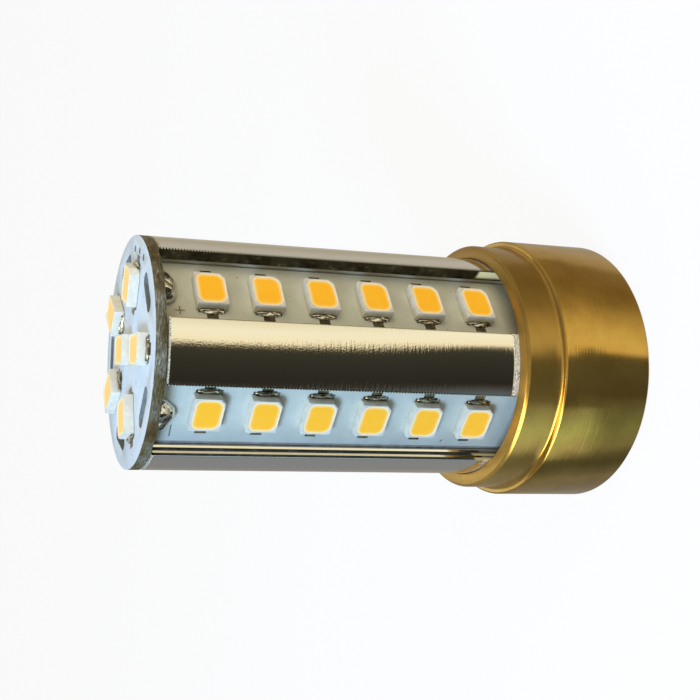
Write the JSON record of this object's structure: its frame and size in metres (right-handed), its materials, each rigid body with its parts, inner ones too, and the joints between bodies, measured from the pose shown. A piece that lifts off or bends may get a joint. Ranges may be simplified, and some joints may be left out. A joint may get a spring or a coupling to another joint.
{
  "type": "led capsule bulb",
  "caption": "Cylindrical LED capsule bulb: slotted bright tube with recessed strips of LED packages, a lit end board, a stepped brass collar and recessed contact pins.",
  "frame": {"origin": "centre of the collar's rear rim plane", "axes": "+Z along the bulb's axis from the collar's rim to the lit end board; -Y points at the middle of one tube band"},
  "size_m": [0.0262, 0.026, 0.0486],
  "materials": {
    "brass": "turned, satin",
    "plated_aluminium": "bright plated, polished",
    "end_board": "white solder mask, edge bare",
    "strip_board": "white solder mask",
    "led_package": "white housing with amber window",
    "solder": "bright solder",
    "insulator": "moulded, matte",
    "pin_metal": "nickel plated",
    "sleeve": "film",
    "driver_board": "solder mask",
    "capacitor_can": "sleeved can",
    "rectifier_epoxy": "moulded",
    "wire_insulation": "smooth"
  },
  "bodies": {
    "root": {"base_insulator": "insulator", "brass_collar": "brass", "bridge_rectifier": "rectifier_epoxy", "contact_pin_1": "pin_metal", "contact_pin_2": "pin_metal", "driver_board": "driver_board", "end_board": "end_board", "end_led_1": "led_package", "end_led_2": "led_package", "end_led_3": "led_package", "end_led_4": "led_package", "end_led_5": "led_package", "end_led_centre": "led_package", "heat_sink_tube": "plated_aluminium", "insulating_sleeve": "sleeve", "led_1_1": "led_package", "led_1_2": "led_package", "led_1_3": "led_package", "led_1_4": "led_package", "led_1_5": "led_package", "led_1_6": "led_package", "led_2_1": "led_package", "led_2_2": "led_package", "led_2_3": "led_package", "led_2_4": "led_package", "led_2_5": "led_package", "led_2_6": "led_package", "led_3_1": "led_package", "led_3_2": "led_package", "led_3_3": "led_package", "led_3_4": "led_package", "led_3_5": "led_package", "led_3_6": "led_package", "led_4_1": "led_package", "led_4_2": "led_package", "led_4_3": "led_package", "led_4_4": "led_package", "led_4_5": "led_package", "led_4_6": "led_package", "led_5_1": "led_package", "led_5_2": "led_package", "led_5_3": "led_package", "led_5_4": "led_package", "led_5_5": "led_package", "led_5_6": "led_package", "led_strip_1": "strip_board", "led_strip_2": "strip_board", "led_strip_3": "strip_board", "led_strip_4": "strip_board", "led_strip_5": "strip_board", "output_wire_1": "wire_insulation", "output_wire_2": "wire_insulation", "smoothing_capacitor": "capacitor_can", "solder_joint_1": "solder", "solder_joint_2": "solder", "solder_joint_3": "solder", "solder_joint_4": "solder", "solder_joint_5": "solder"}
  },
  "joints": []
}
